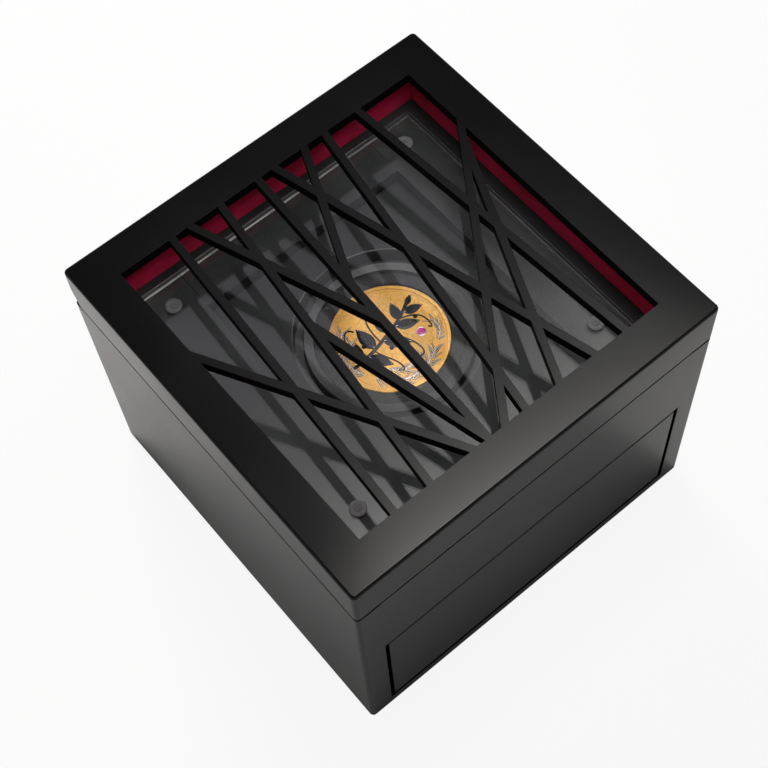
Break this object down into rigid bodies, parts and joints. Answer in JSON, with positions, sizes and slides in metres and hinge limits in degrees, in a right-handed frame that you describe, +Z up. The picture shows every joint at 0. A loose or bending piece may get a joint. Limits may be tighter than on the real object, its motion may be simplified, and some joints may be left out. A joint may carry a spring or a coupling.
{
  "type": "coin case",
  "caption": "Square lacquered display case with a hinged fretwork lid, a coin in a capsule under a clear cover plate, and a flush push-to-open drawer below.",
  "frame": {"origin": "on the ground at the middle of the case", "axes": "+Z up, -Y towards the drawer front, +Y towards the hinges"},
  "size_m": [0.18, 0.18, 0.143],
  "materials": {
    "black_lacquered_board": "satin lacquer",
    "black_stained_wood": "stained",
    "plain_wood": "planed",
    "black_lining_board": "black paper",
    "red_velvet": "velvet",
    "clear_acrylic": "polished",
    "clear_nylon": "moulded",
    "gold_metal": "struck and polished",
    "black_foam": "foam",
    "felt": "felt",
    "magnet_plating": "nickel",
    "hinge_steel": "black satin",
    "latch_steel": "zinc plated",
    "latch_plastic": "moulded"
  },
  "bodies": {
    "case": {"back_panel": "black_lacquered_board", "base_panel": "black_lacquered_board", "body_magnets": "magnet_plating", "capsule_base": "clear_acrylic", "capsule_lid": "clear_acrylic", "coin": "gold_metal", "coin_gasket": "black_foam", "cover_plate": "clear_acrylic", "cover_rivets": "clear_nylon", "divider_shelf": "plain_wood", "drawer_runner_left": "plain_wood", "drawer_runner_right": "plain_wood", "drawer_stop": "plain_wood", "felt_pads": "felt", "front_rail": "black_lacquered_board", "hinge_body_leaf_left": "hinge_steel", "hinge_body_leaf_right": "hinge_steel", "hinge_body_screws": "hinge_steel", "hinge_pin_left": "hinge_steel", "hinge_pin_right": "hinge_steel", "latch_housing": "latch_plastic", "latch_screws": "latch_steel", "latch_spring": "latch_steel", "ledge_back": "black_lining_board", "ledge_front": "black_lining_board", "ledge_left": "black_lining_board", "ledge_right": "black_lining_board", "left_side": "black_lacquered_board", "lining_back": "red_velvet", "lining_front": "red_velvet", "lining_left": "red_velvet", "lining_right": "red_velvet", "right_side": "black_lacquered_board", "tray_board": "black_lining_board", "tray_cleat_left": "plain_wood", "tray_cleat_right": "plain_wood"},
    "lid": {"hinge_lid_leaf_left": "hinge_steel", "hinge_lid_leaf_right": "hinge_steel", "hinge_lid_screws": "hinge_steel", "lid_face": "black_lacquered_board", "lid_magnets": "magnet_plating", "lid_rail_back": "black_lacquered_board", "lid_rail_front": "black_lacquered_board", "lid_rail_left": "black_lacquered_board", "lid_rail_right": "black_lacquered_board"},
    "drawer": {"drawer_front": "black_lacquered_board", "drawer_left": "black_stained_wood", "drawer_right": "black_stained_wood", "drawer_back": "black_stained_wood", "drawer_bottom": "black_stained_wood", "drawer_lining": "red_velvet", "drawer_dowels": "plain_wood", "latch_strike": "latch_steel"},
    "plunger": {"latch_plunger": "latch_plastic"}
  },
  "joints": [
    {"name": "lid_hinge", "type": "hinge", "parent": "case", "child": "lid", "pos_m": [0, 0.0877, 0.1224], "axis": [-1, 0, 0], "range_deg": [0, 100]},
    {"name": "drawer_slide", "type": "slide", "parent": "case", "child": "drawer", "axis": [0, -1, 0], "range_m": [0, 0.095]},
    {"name": "plunger_press", "type": "slide", "parent": "case", "child": "plunger", "axis": [0, 1, 0], "range_m": [0, 0.003], "stiffness_N_per_m": 200, "springref_m": -0.002, "deforming": ["latch_spring"]}
  ]
}
